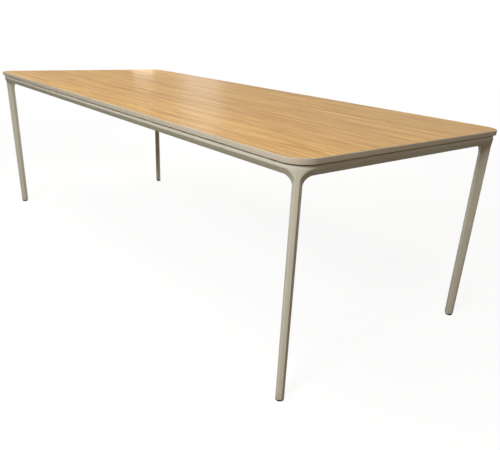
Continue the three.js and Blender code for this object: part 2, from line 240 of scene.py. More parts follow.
def oak_finish():
    material, place, surface = new_finish("oak_veneer")
    leaf, band, streak, fibre, pore = oak_grains(place)
    tone = leaf.between(0.34, 0.66).tint(OAK_LIGHT, OAK_DULL)
    dark = band.between(0.48, 0.68) * 0.65 + streak.between(0.5, 0.68) * 0.66
    tone = dark.tint(tone, OAK_DARK)
    pale = band.between(0.5, 0.32) * 0.55 + streak.between(0.48, 0.32) * 0.6
    tone = pale.tint(tone, OAK_PALE)
    tone = (fibre.between(0.5, 0.74) * 0.45).tint(tone, FIBRE_BROWN)
    pits = pore.between(0.66, 0.76)
    tone = (pits * 0.55).tint(tone, PORE_BROWN)
    gloss = LACQUER_ROUGHNESS + fibre * 0.08 + pits * 0.12
    relief = bumped(fibre * 0.6 - pits * 0.8, GRAIN_RELIEF, 0.5)
    feed(surface, Base_Color=tone, Roughness=gloss, Normal=relief, Specular_IOR_Level=0.35)
    return material


OAK = oak_finish()
print("oak:", OAK.name)

# %% [markdown]
# ## Sand powder coat and the edge band
# The frame is powder coated. Under a low light such a coat has the faint dimples of an orange skin, less
# than a millimetre across, and its colour is even with the slightest cloudiness. The edge band is a
# moulded strip of nearly the same colour, smoother and a shade darker, with faint lines along it.

# %% Sand finishes
SAND = srgb(212, 208, 192)
SAND_DEEP = srgb(204, 199, 182)
SAND_SPECK = srgb(160, 150, 131)
BAND_PALE = srgb(201, 192, 174)
BAND_DEEP = srgb(193, 183, 164)
SAND_SPECULAR = 0.45
PEEL_DEPTH = 0.05 * MM
LINE_DEPTH = 0.02 * MM
PEEL_REPEATS = 1500.0
GRAIN_REPEATS = 5200.0
LINE_REPEATS = (6.0, 6.0, 2600.0)


def powder_coat():
    material, place, surface = new_finish("sand_powder_coat")
    cloud = place.noise(9.0, 3.0).between(0.3, 0.7)
    peel = place.noise(PEEL_REPEATS, 2.0, 0.45)
    grain = place.noise(GRAIN_REPEATS, 1.0)
    tone = (cloud * 0.45).tint(SAND, SAND_DEEP)
    tone = (grain.between(0.6, 0.8) * 0.12).tint(tone, SAND_SPECK)
    relief = bumped(peel + grain * 0.25, PEEL_DEPTH, 0.45)
    feed(surface, Base_Color=tone, Roughness=0.31 + cloud * 0.05 + grain * 0.05)
    feed(surface, Normal=relief, Specular_IOR_Level=SAND_SPECULAR)
    return material


def band_finish():
    material, place, surface = new_finish("sand_edge_band")
    lines = place.stretched(*LINE_REPEATS).noise(1.0, 2.0)
    cloud = place.noise(7.0, 2.0).between(0.3, 0.7)
    tone = (cloud * 0.35 + lines.between(0.5, 0.8) * 0.15).tint(BAND_PALE, BAND_DEEP)
    feed(surface, Base_Color=tone, Roughness=0.3 + lines * 0.08)
    feed(surface, Normal=bumped(lines, LINE_DEPTH, 0.4), Specular_IOR_Level=SAND_SPECULAR)
    return material


COAT = powder_coat()
BAND = band_finish()
print("sand finishes:", COAT.name, BAND.name)

# %% [markdown]
# ## What is hidden or small
# The board is chipboard, its underside has a plain backing sheet, the feet are black nylon, the screws are
# zinc plated and the threaded inserts are brass. They are seen only by somebody who looks under the
# table, but each still gets its own surface.

# %% Small finishes
BACKING_PALE = srgb(205, 198, 184)
BACKING_DULL = srgb(193, 185, 170)
BACKING_FLECK = srgb(166, 156, 138)
CHIP_DARK = srgb(170, 132, 88)
CHIP_PALE = srgb(204, 172, 128)
NYLON_BLACK = srgb(30, 30, 29)
NYLON_SCUFFED = srgb(58, 58, 55)
ZINC_BRIGHT = srgb(214, 216, 219)
ZINC_DULL = srgb(178, 182, 188)
BRASS_BRIGHT = srgb(214, 178, 104)
BRASS_DULL = srgb(186, 148, 78)


def backing_finish():
    material, place, surface = new_finish("backing_sheet")
    fleck = place.noise(900.0, 2.0)
    cloud = place.noise(4.0, 3.0).between(0.3, 0.7)
    tone = (cloud * 0.5).tint(BACKING_PALE, BACKING_DULL)
    tone = (fleck.between(0.58, 0.75) * 0.3).tint(tone, BACKING_FLECK)
    relief = bumped(fleck, 0.04 * MM, 0.5)
    feed(surface, Base_Color=tone, Roughness=0.55 + fleck * 0.15, Normal=relief)
    return material


def board_finish():
    material, place, surface = new_finish("chipboard")
    cells = place.stretched(1.0, 1.0, 2.2)
    chips = cells.node("ShaderNodeTexVoronoi", {}, {"Vector": cells, "Scale": 420.0}, 1)
    shade = chips.node("ShaderNodeRGBToBW", {}, {"Color": chips})
    tone = shade.between(0.2, 0.8).tint(CHIP_DARK, CHIP_PALE)
    relief = bumped(shade, 0.2 * MM, 0.6)
    feed(surface, Base_Color=tone, Roughness=0.8 + shade * 0.15, Normal=relief)
    return material


def nylon_finish():
    material, place, surface = new_finish("nylon_pad")
    grain = place.noise(2600.0, 2.0)
    scuff = place.stretched(1.0, 1.0, 3.0).noise(160.0, 3.0).between(0.55, 0.75)
    tone = (scuff * 0.4).tint(NYLON_BLACK, NYLON_SCUFFED)
    feed(surface, Base_Color=tone, Roughness=0.5 + grain * 0.15 + scuff * 0.1)
    feed(surface, Normal=bumped(grain, 0.04 * MM, 0.6))
    return material


def plated(name, bright, dull, roughness):
    material, place, surface = new_finish(name)
    cloud = place.noise(240.0, 3.0).between(0.3, 0.7)
    scratch = place.stretched(1.0, 1.0, 9.0).noise(1400.0, 2.0)
    feed(surface, Base_Color=(cloud * 0.6).tint(bright, dull), Metallic=1.0)
    feed(surface, Roughness=roughness + scratch * 0.14, Normal=bumped(scratch, 0.01 * MM, 0.4))
    return material


BACKING = backing_finish()
BOARD = board_finish()
NYLON = nylon_finish()
ZINC = plated("zinc_plate", ZINC_BRIGHT, ZINC_DULL, roughness=0.26)
BRASS = plated("turned_brass", BRASS_BRIGHT, BRASS_DULL, roughness=0.3)
print("small finishes:", BACKING.name, BOARD.name, NYLON.name, ZINC.name, BRASS.name)

# %% [markdown]
# ## Making a piece
# Most pieces here are sheets of points: rows that follow the shape one way, and points along each row
# that follow it the other way. `add_sheet` joins neighbouring rows with faces. Where two sheets meet,
# their points lie in the same place, so merging them closes the piece, and then its faces can be turned
# outwards. Edges that turn more than a set angle stay crisp.

# %% Sheets and faces


def add_sheet(mesh, rows, close=False):
    """Faces between neighbouring rows of points. A closed sheet joins each row's end to its start."""
    made = [[mesh.verts.new(point) for point in row] for row in rows]
    for low, high in zip(made, made[1:]):
        pairs = list(zip(low, high))
        if close:
            pairs.append(pairs[0])
        for (p, q), (r, s) in zip(pairs, pairs[1:]):
            mesh.faces.new((p, r, s, q))


def add_ring(mesh, outer, inner):
    """A flat face between an outer loop of points and an inner one."""
    edges = []
    for loop in (outer, inner):
        verts = [mesh.verts.new(point) for point in loop]
        edges += [mesh.edges.new((p, q)) for p, q in zip(verts, verts[1:] + verts[:1])]
    bmesh.ops.triangle_fill(mesh, use_beauty=True, use_dissolve=False, edges=edges)


def add_face(mesh, loop):
    mesh.faces.new([mesh.verts.new(point) for point in loop])


def mirrored(side_x, side_y, points):
    """Points of a corner, given as distances in from its two edges, in the table's own frame."""
    return [(side_x * (LENGTH / 2 - a), side_y * (WIDTH / 2 - b), z) for a, b, z in points]


print("sheets and faces ready")

# %% Finishing a piece
WELD = 0.002 * MM
CRISP = math.radians(38)


def finish_piece(name, mesh, material, body, nodes):
    """Closes a mesh, turns its faces outwards and lets it stand for its nodes on their body."""
    bmesh.ops.remove_doubles(mesh, verts=mesh.verts, dist=WELD)
    bmesh.ops.dissolve_degenerate(mesh, dist=WELD, edges=mesh.edges)
    bmesh.ops.recalc_face_normals(mesh, faces=mesh.faces)
    data = bpy.data.meshes.new(name)
    mesh.to_mesh(data)
    mesh.free()
    data.polygons.foreach_set("use_smooth", [True] * len(data.polygons))
    data.set_sharp_from_angle(angle=CRISP)
    data.materials.append(material)
    settle(name, data, body, nodes)


def count_open_edges(data):
    mesh = bmesh.new()
    mesh.from_mesh(data)
    count = sum(not edge.is_manifold for edge in mesh.edges)
    mesh.free()
    return count


def settle(name, data, body, nodes):
    """Puts a finished mesh into the scene, riding on its body in place of its nodes."""
    piece = bpy.data.objects.new(name, data)
    bpy.context.scene.collection.objects.link(piece)
    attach(piece, body)
    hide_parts(*nodes)
    print(f"{name}: {len(data.polygons)} faces, {count_open_edges(data)} open edges")


print("pieces can be finished")

# %% Soft bends
UP = np.array((0.0, 0.0, 1.0))
MOST_OF_A_GAP = 0.45


def mix(first, second, share):
    return first + (second - first) * share


def arc(start, corner, end, steps):
    """A soft bend from start to end that leans towards a corner."""
    shares = [step / steps for step in range(steps + 1)]
    return [mix(mix(start, corner, t), mix(corner, end, t), t) for t in shares]


def towards(point, other, reach):
    """The place at most a reach from a point on the way to another one, and short of half-way."""
    gap = other - point
    return point + gap * min(reach / np.linalg.norm(gap), MOST_OF_A_GAP)


print("soft bends ready")

# %% [markdown]
# ## The top
# The oak sheet and the backing sheet are thin plates with the same rounded plan. Their edges are broken by
# a hair, as a router leaves them. The edge band is a strip that follows the plan, so Geometry Nodes sweep
# its section along it: a rectangle whose corners are rounded, one of them more, round a rectangle whose
# corners are the corners of the table.

# %% Oak sheet and backing sheet
CORNER_RADIUS = 70 * MM
PLAN_STEPS = 28
EDGE_BREAK = 0.15 * MM


def plan_loop(inset, z):
    """The plan of the top, moved inwards, as a loop of points at one height."""
    radius = CORNER_RADIUS - inset
    loop = []
    for quarter, (side_x, side_y) in enumerate([(1, 1), (-1, 1), (-1, -1), (1, -1)]):
        for step in range(PLAN_STEPS + 1):
            angle = (quarter + step / PLAN_STEPS) * math.pi / 2
            x = side_x * (LENGTH / 2 - CORNER_RADIUS) + radius * math.cos(angle)
            y = side_y * (WIDTH / 2 - CORNER_RADIUS) + radius * math.sin(angle)
            loop.append((x, y, z))
    return loop


def sheet_piece(name, node, material):
    low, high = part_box(node)
    inset = cad_high.x - high.x
    loops = [
        plan_loop(inset + EDGE_BREAK, low.z),
        plan_loop(inset, low.z + EDGE_BREAK),
        plan_loop(inset, high.z - EDGE_BREAK),
        plan_loop(inset + EDGE_BREAK, high.z),
    ]
    mesh = bmesh.new()
    add_sheet(mesh, loops, close=True)
    add_face(mesh, loops[0])
    add_face(mesh, loops[-1])
    finish_piece(name, mesh, material, "table", [node])


sheet_piece("oak_face", "oak_top_sheet", OAK)
sheet_piece("underside_sheet", "backing_sheet", BACKING)
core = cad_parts["tabletop_core"]
core.data.materials.clear()
core.data.materials.append(BOARD)

# %% Geometry Nodes helpers


def new_tree(name, sizes):
    """An empty tree with named number inputs, and a wire for each of them and for the geometry."""
    tree = bpy.data.node_groups.new(name, "GeometryNodeTree")
    tree.interface.new_socket("Geometry", in_out="INPUT", socket_type="NodeSocketGeometry")
    for size in sizes:
        tree.interface.new_socket(size, in_out="INPUT", socket_type="NodeSocketFloat")
    tree.interface.new_socket("Geometry", in_out="OUTPUT", socket_type="NodeSocketGeometry")
    entry = tree.nodes.new("NodeGroupInput")
    return tree, {socket.name: Wire(tree, socket) for socket in entry.outputs if socket.name}


def close_tree(tree, shape, material):
    """Ends a tree with Realize Instances and Set Material."""
    real = shape.node("GeometryNodeRealizeInstances", {}, {"Geometry": shape})
    dressed = real.node("GeometryNodeSetMaterial", {}, {"Geometry": real, "Material": material})
    leave = tree.nodes.new("NodeGroupOutput")
    tree.links.new(dressed.socket, leave.inputs["Geometry"])


def grown(name, tree, sizes, seed_data):
    """The plain mesh that a tree makes from a seed mesh and its named sizes."""
    seed = bpy.data.objects.new(name, seed_data)
    bpy.context.scene.collection.objects.link(seed)
    modifier = seed.modifiers.new("grow", "NODES")
    modifier.node_group = tree
    for item in tree.interface.items_tree:
        if item.item_type == "SOCKET" and item.in_out == "INPUT" and item.name in sizes:
            modifier[item.identifier] = sizes[item.name]
    bpy.context.view_layer.update()
    depsgraph = bpy.context.evaluated_depsgraph_get()
    data = bpy.data.meshes.new_from_object(seed.evaluated_get(depsgraph))
    seed.modifiers.remove(modifier)
    bpy.data.objects.remove(seed)
    data.name = name
    data.polygons.foreach_set("use_smooth", [True] * len(data.polygons))
    data.set_sharp_from_angle(angle=CRISP)
    return data


print("tree helpers ready")

# %% Edge band
# The corner of the band's section that becomes the arris, in the order that the node makes them.
OUTER_TOP = 3
ARRIS_STEPS = 6
GLUE_GAP = 0.1 * MM


def band_tree():
    """A tree that sweeps the rounded section of the band round the plan of the table."""
    names = ["Length", "Width", "Corner radius", "Thickness", "Height", "Arris", "Soft edge", "Top"]
    tree, sizes = new_tree("edge_band_tree", names)
    start = sizes["Length"]
    half = sizes["Thickness"] * 0.5
    size_x = sizes["Length"] - sizes["Thickness"]
    size_y = sizes["Width"] - sizes["Thickness"]
    plan_size = {"Width": size_x, "Height": size_y}
    plan = start.node("GeometryNodeCurvePrimitiveQuadrilateral", {}, plan_size)
    fillet = {"mode": "POLY"}
    bends = {"Curve": plan, "Count": PLAN_STEPS, "Radius": sizes["Corner radius"] - half}
    path = start.node("GeometryNodeFilletCurve", fillet, bends)
    section_size = {"Width": sizes["Thickness"], "Height": sizes["Height"]}
    section = start.node("GeometryNodeCurvePrimitiveQuadrilateral", {}, section_size)
    index = start.node("GeometryNodeInputIndex", {}, {})
    equal = {"data_type": "INT", "operation": "EQUAL"}
    outer_top = start.node("FunctionNodeCompare", equal, {2: index, 3: OUTER_TOP})
    choice = {"Switch": outer_top, "False": sizes["Soft edge"], "True": sizes["Arris"]}
    radius = start.node("GeometryNodeSwitch", {"input_type": "FLOAT"}, choice)
    rounding = {"Curve": section, "Count": ARRIS_STEPS, "Radius": radius, "Limit Radius": True}
    profile = start.node("GeometryNodeFilletCurve", fillet, rounding)
    band = start.node("GeometryNodeCurveToMesh", {}, {"Curve": path, "Profile Curve": profile})
    middle = sizes["Top"] - sizes["Height"] * 0.5
    lift = start.node("ShaderNodeCombineXYZ", {}, {"Z": middle})
    raised = start.node("GeometryNodeTransform", {}, {"Geometry": band, "Translation": lift})
    close_tree(tree, raised, BAND)
    return tree


band_low, band_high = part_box("edge_band")
band_sizes = {
    "Length": LENGTH,
    "Width": WIDTH,
    "Corner radius": CORNER_RADIUS,
    "Thickness": cad_high.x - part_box("tabletop_core")[1].x - GLUE_GAP,
    "Height": band_high.z - band_low.z,
    "Arris": 1.9 * MM,
    "Soft edge": 0.3 * MM,
    "Top": band_high.z,
}
band_data = grown("edge_strip", band_tree(), band_sizes, bpy.data.meshes.new("seed"))
settle("edge_strip", band_data, "table", ["edge_band"])

# %% [markdown]
# ## A leg and its head
# Each leg is one casting. Its head reaches along two edges of the table to meet the rails. Seen from the
# front there is a narrow nose that runs up the leg and opens like a trumpet into the rim of the frame.
# Behind it the sides fall back to a rounded rear face. The head is symmetrical about the corner's
# diagonal, so one half is made and then mirrored. Lengths `a` and `b` run inwards along the two edges from
# the corner.
#
# Long edges run from the end of the head to the foot: the crease beside the nose, a shoulder, the side's
# rear end and the rear edge. Each runs level, turns down on a fillet and goes on down the leg. At every
# station along them a cross-section is drawn through the edges, with a soft bend at each.

# %% Sizes of the leg and the rail
RIGHT_ANGLE = math.pi / 2
ROOT_TWO = math.sqrt(2)
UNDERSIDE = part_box("backing_sheet")[0].z
rail_low, rail_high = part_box("front_rail")
FIT_GAP = 0.3 * MM
RAIL_BOTTOM = rail_low.z
FACE_INSET = rail_low.y - cad_low.y
LIP_INSET = rail_high.y - cad_low.y
STUB = cad_high.x - rail_high.x - FIT_GAP
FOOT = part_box("leg_front_right")[0].z
SHADOW_GAP = 4.5 * MM
RAIL_TOP = UNDERSIDE - SHADOW_GAP
FACE_HEIGHT = 10.5 * MM
CREASE = RAIL_TOP - FACE_HEIGHT
TOP_INSET = 9 * MM
LAND_INSET = 18 * MM
UNDERCUT_INSET = 24 * MM
BACK_INSET = 40 * MM
WALL = 3 * MM
LIP_THICKNESS = 3 * MM
LIP_BOTTOM = UNDERSIDE - LIP_THICKNESS
SPIGOT = 60 * MM
NOSE_HALF = 7 * MM
NOSE_TAPER = 2 * MM
TOP_DEPTH = 35 * MM
FOOT_DEPTH = 29.5 * MM
TOP_HALF_WIDTH = 14.1 * MM
FOOT_HALF_WIDTH = 13.9 * MM
BACK_ROUND = 3 * MM
SHOULDER_DEPTH = 9 * MM
SHOULDER_HALF = 13 * MM
CREASE_REACH = 30 * MM
CREASE_DROP = 32 * MM
BOTTOM_REACH = 20 * MM
BOTTOM_DROP = 29 * MM
REAR_REACH = 28 * MM
REAR_DROP = 40 * MM
FACE_RADIUS = CORNER_RADIUS - FACE_INSET
NOSE_TOP = CORNER_RADIUS * ROOT_TWO - FACE_RADIUS
print(f"stub {STUB / MM:.1f} mm, nose {NOSE_TOP / MM:.1f} mm in from the corner")

# %% Where the rim and the leg are
HALF_BEND = FACE_RADIUS * math.pi / 4
LEAN_POWER = 1.5


def rim_point(inset, along):
    """A place on the rounded rim, by its way along the rim from the diagonal."""
    if along >= HALF_BEND:
        return CORNER_RADIUS + along - HALF_BEND, inset
    turn = math.pi / 4 - along / FACE_RADIUS
    radius = CORNER_RADIUS - inset
    return CORNER_RADIUS - radius * math.sin(turn), CORNER_RADIUS - radius * math.cos(turn)


def way_along(a):
    """How far along the rim a place lies, by its distance from the corner."""
    if a >= CORNER_RADIUS:
        return HALF_BEND + a - CORNER_RADIUS
    return HALF_BEND - FACE_RADIUS * math.asin((CORNER_RADIUS - a) / FACE_RADIUS)


def taper(z):
    """How far down the leg a height lies, from 0 at the crease to 1 at the foot."""
    return min(max((CREASE - z) / (CREASE - FOOT), 0.0), 1.0)


def front_point(along, z):
    """A place on the front of the leg and head: upright below the crease, leaning back above it."""
    lean = max(z - CREASE, 0.0) / FACE_HEIGHT
    a, b = rim_point(mix(FACE_INSET, TOP_INSET, lean ** LEAN_POWER), along)
    shift = NOSE_TAPER * taper(z) / ROOT_TWO
    return np.array((a + shift, b + shift, z))


def off_diagonal(depth, across, z):
    """A place by its depth along the corner's diagonal and its distance to the side of it."""
    return np.array(((depth + across) / ROOT_TWO, (depth - across) / ROOT_TWO, z))


def nose_depth(z):
    return NOSE_TOP + NOSE_TAPER * taper(z)


def back_depth(z):
    return mix(NOSE_TOP + TOP_DEPTH, NOSE_TOP + NOSE_TAPER + FOOT_DEPTH, taper(z))


def half_width(z):
    return mix(TOP_HALF_WIDTH, FOOT_HALF_WIDTH, taper(z))


def side_end(z):
    return off_diagonal(back_depth(z) - BACK_ROUND, half_width(z), z)


def back_edge(z):
    return off_diagonal(back_depth(z), half_width(z) - BACK_ROUND, z)


def back_middle(z):
    return off_diagonal(back_depth(z), 0.0, z)


def crease_at(z):
    """The edge of the nose, which is bowed a little, as the rim is."""
    crown = FACE_RADIUS - math.sqrt(FACE_RADIUS ** 2 - NOSE_HALF ** 2)
    return off_diagonal(nose_depth(z) + crown, NOSE_HALF, z)


print(f"leg {2 * half_width(FOOT) / MM:.1f} mm wide at the foot")

# %% Long edges of the half leg
STUB_STEPS = 4
FILLET_STEPS = 18
SHAFT_STEPS = 14
FOOT_EDGE = 0.8 * MM
SHAFT_END = FOOT + FOOT_EDGE
STATIONS = [("stub", step / STUB_STEPS) for step in range(STUB_STEPS)]
STATIONS += [("fillet", step / FILLET_STEPS) for step in range(FILLET_STEPS + 1)]
STATIONS += [("shaft", (step + 1) / SHAFT_STEPS) for step in range(SHAFT_STEPS)]
HEAD_END = STUB_STEPS + FILLET_STEPS


def turn_at(station):
    """How far a long edge has turned down at a station."""
    part, share = station
    return {"stub": 0.0, "fillet": share * RIGHT_ANGLE, "shaft": RIGHT_ANGLE}[part]


def long_edge(inset, level, reach, drop, leg_at):
    """An edge that runs level along the stub, turns down on a fillet and follows the leg."""
    top = leg_at(level - drop)
    begin = np.array((STUB, inset, level))
    bend = np.array((top[0] + reach, inset, level))
    places = []
    for part, share in STATIONS:
        angle = share * RIGHT_ANGLE
        if part == "stub":
            places.append(mix(begin, bend, share))
        elif part == "fillet":
            a = top[0] + reach * (1 - math.sin(angle))
            b = mix(inset, top[1], math.sin(angle) ** 2)
            places.append(np.array((a, b, level - drop * (1 - math.cos(angle)))))
        else:
            places.append(leg_at(mix(level - drop, SHAFT_END, share)))
    return places


def crease_ways():
    """The crease beside the nose, as ways along the rim and heights."""
    edge = long_edge(FACE_INSET, CREASE, CREASE_REACH, CREASE_DROP, crease_at)
    nose_way = FACE_RADIUS * math.asin(NOSE_HALF / FACE_RADIUS)
    ways = []
    for (part, _), place in zip(STATIONS, edge):
        ways.append((nose_way if part == "shaft" else way_along(place[0]), place[2]))
    return ways


def shoulder_edge(crease, side):
    """An edge part of the way from the crease to the side's rear end, straight down the leg."""
    foot = off_diagonal(nose_depth(FOOT) + SHOULDER_DEPTH, SHOULDER_HALF, SHAFT_END)
    share = SHOULDER_DEPTH / TOP_DEPTH
    head = [mix(crease[i], side[i], share) for i in range(HEAD_END + 1)]
    shaft = [mix(head[-1], foot, t) for part, t in STATIONS if part == "shaft"]
    return head + shaft


ways = crease_ways()
crease_edge = [front_point(along, z) for along, z in ways]
side_edge = long_edge(UNDERCUT_INSET, RAIL_BOTTOM, BOTTOM_REACH, BOTTOM_DROP, side_end)
rear_edge = long_edge(BACK_INSET, RAIL_BOTTOM, REAR_REACH, REAR_DROP, back_edge)
shoulder = shoulder_edge(crease_edge, side_edge)
print(f"{len(STATIONS)} stations, the head ends at station {HEAD_END}")

# %% Cross-sections of the half leg
CREASE_SOFT = 2.2 * MM
SHOULDER_SOFT = 5 * MM
SIDE_SOFT = 2.4 * MM
REAR_SOFT = 2 * MM
TOP_SOFT = 1.2 * MM
FRONT_STEPS = 9
CREASE_STEPS = 6
SIDE_STEPS = 5
RIM_STEPS = 4
TO_MIDDLE = np.array((-1.0, 1.0, 0.0)) / ROOT_TWO


def side_row(i):
    """The section from the crease round the side to the rear face, at one station."""
    turn = turn_at(STATIONS[i])
    along, z = ways[i]
    crease = crease_edge[i]
    web = front_point(along - CREASE_SOFT * math.sin(turn), z + CREASE_SOFT * math.cos(turn))
    run = crease_edge[min(i + 1, len(ways) - 1)] - crease_edge[max(i - 1, 0)]
    run = run / np.linalg.norm(run)
    inward = shoulder[i] - crease
    inward = inward - run * (inward @ run)
    edge = towards(crease, crease + inward, CREASE_SOFT)
    rise = UP * math.cos(turn) + TO_MIDDLE * math.sin(turn)
    row = arc(web, crease, edge, CREASE_STEPS)
    for place, before, after, soft in (
        (shoulder[i], edge, side_edge[i], SHOULDER_SOFT),
        (side_edge[i], shoulder[i], rear_edge[i], SIDE_SOFT),
    ):
        row += arc(towards(place, before, soft), place, towards(place, after, soft), SIDE_STEPS)
    rear = rear_edge[i]
    before_rear = towards(rear, side_edge[i], REAR_SOFT)
    return row + arc(before_rear, rear, rear + rise * REAR_SOFT, SIDE_STEPS)


def front_target(i):
    """Where a front row starts: on the rim's top edge, or on the diagonal down the leg."""
    part, share = STATIONS[i]
    top = RAIL_TOP - TOP_SOFT
    if part == "shaft":
        return 0.0, mix(top, SHAFT_END, share)
    if part == "fillet":
        return ways[STUB_STEPS][0] * (1 - share), top
    return ways[i][0], top


def front_row(i):
    """From the rim's top edge or the diagonal to the crease, at one station."""
    along, z = front_target(i)
    turn = turn_at(STATIONS[i])
    web_along = ways[i][0] - CREASE_SOFT * math.sin(turn)
    web_z = ways[i][1] + CREASE_SOFT * math.cos(turn)
    shares = [step / FRONT_STEPS for step in range(FRONT_STEPS + 1)]
    return [front_point(mix(along, web_along, t), mix(z, web_z, t)) for t in shares]


def top_row(i):
    """From the top face of the head down the land and over the gap to the front."""
    along = front_target(i)[0]
    land = np.array((*rim_point(LAND_INSET, along), UNDERSIDE))
    floor = np.array((*rim_point(LAND_INSET, along), RAIL_TOP))
    rim = np.array((*rim_point(TOP_INSET + TOP_SOFT, along), RAIL_TOP))
    corner = np.array((*rim_point(TOP_INSET, along), RAIL_TOP))
    return [land, floor] + arc(rim, corner, front_row(i)[0], RIM_STEPS)


print("cross-sections ready")

# %% The foot of the leg
FOOT_EDGE_STEPS = 3
INSERT_BORE = 6.8 * MM
STUD_BORE = 4.3 * MM
BORE_CLEARANCE = 1 * MM
insert_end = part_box("threaded_insert_front_right")[1].z + FIT_GAP
bore_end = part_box("levelling_stud_front_right")[1].z + BORE_CLEARANCE
pad_low, pad_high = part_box("foot_pad_front_right")
foot_in = cad_high.x - (pad_low.x + pad_high.x) / 2
foot_axis = np.array((foot_in, foot_in, 0.0))
bore_steps = [
    (INSERT_BORE, FOOT),
    (INSERT_BORE, insert_end),
    (STUD_BORE, insert_end),
    (STUD_BORE, bore_end),
    (0.0, bore_end),
]


def foot_rows(outline):
    """The rounded lower edge of the leg, its flat end and the bore in it."""
    rows = []
    for step in range(1, FOOT_EDGE_STEPS + 1):
        angle = step / FOOT_EDGE_STEPS * RIGHT_ANGLE
        drop = FOOT_EDGE * math.sin(angle)
        pull = FOOT_EDGE * (1 - math.cos(angle))
        row = []
        for point in outline:
            inward = foot_axis - point * (1, 1, 0)
            inward = inward / np.linalg.norm(inward)
            row.append(point + inward * pull - UP * drop)
        rows.append(row)
    for radius, z in bore_steps:
        row = []
        for point in outline:
            outward = point * (1, 1, 0) - foot_axis
            row.append(foot_axis + outward / np.linalg.norm(outward) * radius + UP * z)
        rows.append(row)
    return rows


print(f"bore up to {bore_end / MM:.1f} mm")

# %% Sheets of the half leg


def half_leg_sheets():
    """Rows of points for each sheet, the loop at the end of the stub and the last corner of the lid."""
    count = len(STATIONS)
    sides = [side_row(i) for i in range(count)]
    fronts = [front_row(i) for i in range(count)]
    tops = [top_row(i) for i in range(HEAD_END + 1)]
    rear_tops = [row[-1] * (1, 1, 0) + UP * UNDERSIDE for row in sides[: HEAD_END + 1]]
    middles = [back_middle(row[-1][2]) for row in sides]
    middle_top = middles[HEAD_END] * (1, 1, 0) + UP * UNDERSIDE
    rear_wall = [[row[-1], top] for row, top in zip(sides, rear_tops)]
    rear_face = [[row[-1], middle] for row, middle in zip(sides[HEAD_END:], middles[HEAD_END:])]
    crown = [[rear_tops[-1], middle_top], rear_face[0]]
    lid = [[top, row[0]] for top, row in zip(rear_tops, tops)]
    outline = fronts[-1] + sides[-1][1:] + [middles[-1]]
    sheets = [sides, fronts, tops, rear_wall, rear_face, crown, lid, [outline] + foot_rows(outline)]
    stub_loop = tops[0] + fronts[0][1:] + sides[0][1:] + [rear_tops[0]]
    return sheets, stub_loop, [rear_tops[-1], middle_top, tops[-1][0]]


HALF_LEG, STUB_LOOP, LID_CORNER = half_leg_sheets()
print(len(HALF_LEG), "sheets in half a leg")

# %% Walls of the hollow section


def section_corners():
    """The sharp corners of the rail's closed box, as insets and heights."""
    return [
        np.array((FACE_INSET, CREASE)),
        np.array((UNDERCUT_INSET, RAIL_BOTTOM)),
        np.array((BACK_INSET, RAIL_BOTTOM)),
        np.array((BACK_INSET, UNDERSIDE)),
        np.array((LAND_INSET, UNDERSIDE)),
        np.array((LAND_INSET, RAIL_TOP)),
        np.array((TOP_INSET, RAIL_TOP)),
    ]


def moved_in(outline, wall):
    """An anticlockwise outline moved inwards by one wall."""
    inner = []
    for i, here in enumerate(outline):
        before = here - outline[i - 1]
        after = outline[(i + 1) % len(outline)] - here
        u = before / np.linalg.norm(before)
        v = after / np.linalg.norm(after)
        spread = wall / (1 + u @ v)
        inner.append(here + np.array((-u[1] - v[1], u[0] + v[0])) * spread)
    return inner


print("a wall of", round(WALL / MM, 1), "mm")

# %% The leg as one mesh


def half_place(side_x, side_y, flip):
    """A function that puts the points of one half of a leg into their corner."""

    def place(points):
        turned = [(p[1], p[0], p[2]) for p in points] if flip else points
        return mirrored(side_x, side_y, turned)

    return place


def add_spigot(mesh, place):
    """The end of the stub and the spigot that plugs into the rail."""
    section = moved_in(section_corners(), WALL + FIT_GAP)
    root = [np.array((STUB, b, z)) for b, z in section]
    tip = [np.array((STUB + SPIGOT, b, z)) for b, z in section]
    add_ring(mesh, place(STUB_LOOP), place(root))
    add_sheet(mesh, [place(root), place(tip)], close=True)
    add_face(mesh, place(tip))


def make_leg(name, side_x, side_y):
    mesh = bmesh.new()
    for flip in (False, True):
        place = half_place(side_x, side_y, flip)
        for rows in HALF_LEG:
            add_sheet(mesh, [place(row) for row in rows])
        add_face(mesh, place(LID_CORNER))
        add_spigot(mesh, place)
    finish_piece(f"cast_leg_{name}", mesh, COAT, "table", [f"leg_{name}"])


for corner, (side_x, side_y) in CORNERS.items():
    make_leg(corner, side_x, side_y)

# %% [markdown]
# ## Rails
# The rails are hollow extrusions with the section of the head's end, so that the seam between a leg and a
# rail is only a hairline. A lip at the back takes the screws that hold the top. The section is taken from
# the leg's own rows, and only the lip is added to it.

# %% Rails
LIP_SOFT = 0.8 * MM
LIP_STEPS = 4


def rail_section():
    """The outline of a rail, as insets and heights."""
    outline = [np.array((p[1], p[2])) for p in STUB_LOOP[:-1]]
    back = outline[-1][0]
    inner = np.array((back, LIP_BOTTOM))
    outer = np.array((LIP_INSET, LIP_BOTTOM))
    edge = np.array((LIP_INSET, UNDERSIDE))
    reach_in = np.array((LIP_SOFT, 0.0))
    reach_up = np.array((0.0, LIP_SOFT))
    outline += arc(inner - reach_up, inner, inner + reach_in, LIP_STEPS)
    outline += arc(outer - reach_in, outer, outer + reach_up, LIP_STEPS)
    return outline + [edge]


def make_rail(name, place, half):
    outline = rail_section()
    hollow = moved_in(section_corners(), WALL)
    mesh = bmesh.new()
    for loop in (outline, hollow):
        ends = [[place(x, b, z) for b, z in loop] for x in (-half, half)]
        add_sheet(mesh, ends, close=True)
    for x in (-half, half):
        add_ring(mesh, [place(x, b, z) for b, z in outline], [place(x, b, z) for b, z in hollow])
    finish_piece(f"frame_{name}", mesh, COAT, "table", [name])


